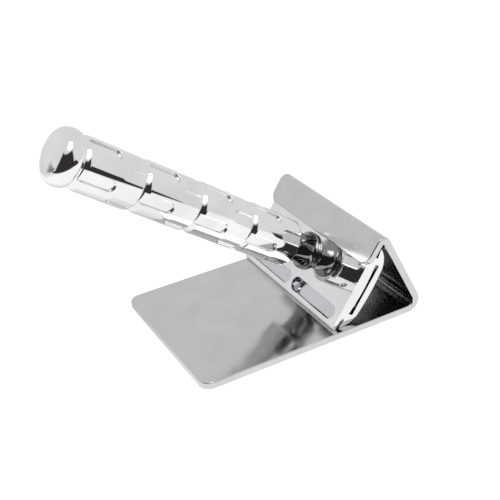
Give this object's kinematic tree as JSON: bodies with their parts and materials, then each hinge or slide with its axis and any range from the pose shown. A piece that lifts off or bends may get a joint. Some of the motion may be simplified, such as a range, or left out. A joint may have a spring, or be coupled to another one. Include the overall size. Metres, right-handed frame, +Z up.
{
  "type": "safety razor with stand",
  "caption": "Double-edge safety razor with a slotted round grip, its head docked under the lip of a bent-sheet stand.",
  "frame": {"origin": "centre of the stand's underside", "axes": "+Z up; +X from the base's free front edge towards the back bend, so the handle rises towards -X; +Y along the head, and the razor slides out towards -Y"},
  "size_m": [0.0799, 0.0447, 0.0593],
  "materials": {
    "polished_sheet": "polished, finely brushed",
    "chromed_head": "mirror",
    "chromed_handle": "mirror",
    "stud_steel": "machined",
    "blade_steel": "ground and polished"
  },
  "bodies": {
    "stand": {"stand_plate": "polished_sheet"},
    "head": {"base_plate": "chromed_head", "blade": "blade_steel", "cap": "chromed_head", "thread_stud": "stud_steel", "alignment_pins": "stud_steel"},
    "neck": {"neck_collar": "chromed_handle", "tie_rod": "stud_steel"},
    "handle": {"grip_sleeve_1": "chromed_handle", "grip_sleeve_2": "chromed_handle", "grip_sleeve_3": "chromed_handle", "grip_sleeve_4": "chromed_handle", "end_knob": "chromed_handle"}
  },
  "joints": [
    {"name": "razor_slide", "type": "slide", "parent": "stand", "child": "head", "axis": [0, -1, 0], "range_m": [0, 0.06]},
    {"name": "neck_travel", "type": "slide", "parent": "head", "child": "neck", "axis": [-0.808, 0, 0.5892], "range_m": [0, 0.0056]},
    {"name": "handle_turn", "type": "hinge", "parent": "neck", "child": "handle", "pos_m": [0.01211, 0.0009, 0.01165], "axis": [-0.808, 0, 0.5892], "range_deg": [0, 2520]}
  ],
  "couplings": [
    {"joint": "handle_turn", "follows": "neck_travel", "rad_per_m": 7854}
  ]
}
